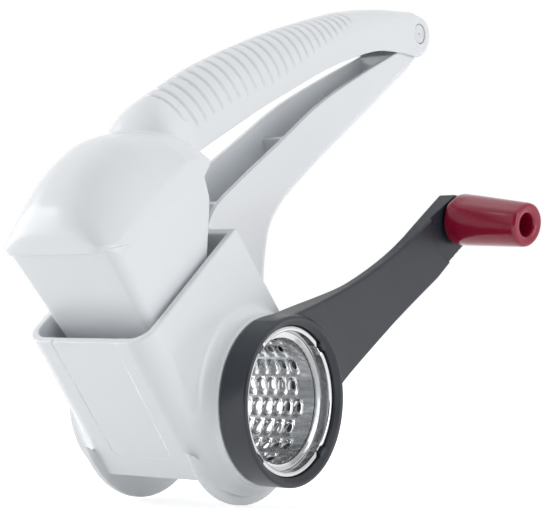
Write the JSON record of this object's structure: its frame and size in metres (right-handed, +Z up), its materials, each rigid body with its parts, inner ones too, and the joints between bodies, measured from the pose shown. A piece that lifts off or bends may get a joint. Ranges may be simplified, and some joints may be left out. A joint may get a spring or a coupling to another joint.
{
  "type": "drum grater",
  "caption": "Hand-held drum grater: leaning hopper, hinged press lever with a box that pushes the food down, perforated steel drum and a side crank with a turning knob.",
  "frame": {"origin": "bottom centre of the box around the whole object, shown in use with the press lever slightly open", "axes": "+X along the drum's axis towards the crank, +Y from the hopper towards the handle's hinge, +Z up"},
  "size_m": [0.1103, 0.2072, 0.1781],
  "materials": {
    "white_plastic": "smooth gloss moulding",
    "slate_plastic": "dark slate satin moulding",
    "crimson_plastic": "crimson gloss moulding",
    "steel": "bright polished stainless sheet"
  },
  "bodies": {
    "body": {"hopper": "white_plastic", "left_side_plate": "white_plastic", "right_side_plate": "white_plastic", "left_collar": "white_plastic", "right_collar": "white_plastic", "lower_handle": "white_plastic"},
    "lever": {"press_lever": "white_plastic", "press_box": "white_plastic", "hinge_pin": "white_plastic", "hinge_pin_cap": "white_plastic"},
    "crank": {"crank_arm": "slate_plastic", "drum_strip_1": "steel", "drum_strip_2": "steel", "drum_strip_3": "steel", "drum_strip_4": "steel", "drum_strip_5": "steel", "drum_strip_6": "steel", "drum_strip_7": "steel", "drum_strip_8": "steel", "drum_strip_9": "steel", "drum_flange": "steel", "drum_end_ring": "steel", "knob_spindle": "steel", "knob_screw": "steel"},
    "knob": {"knob": "crimson_plastic"}
  },
  "joints": [
    {"name": "press_hinge", "type": "hinge", "parent": "body", "child": "lever", "pos_m": [-0.02425, 0.0944, 0.169], "axis": [1, 0, 0], "range_deg": [-75, 7]},
    {"name": "crank_turn", "type": "hinge", "parent": "body", "child": "crank", "pos_m": [-0.02425, -0.0336, 0.034], "axis": [1, 0, 0], "continuous": true},
    {"name": "knob_spin", "type": "hinge", "parent": "crank", "child": "knob", "pos_m": [0.02335, 0.05827, 0.09504], "axis": [0.9848, -0.1446, -0.0961], "continuous": true}
  ]
}
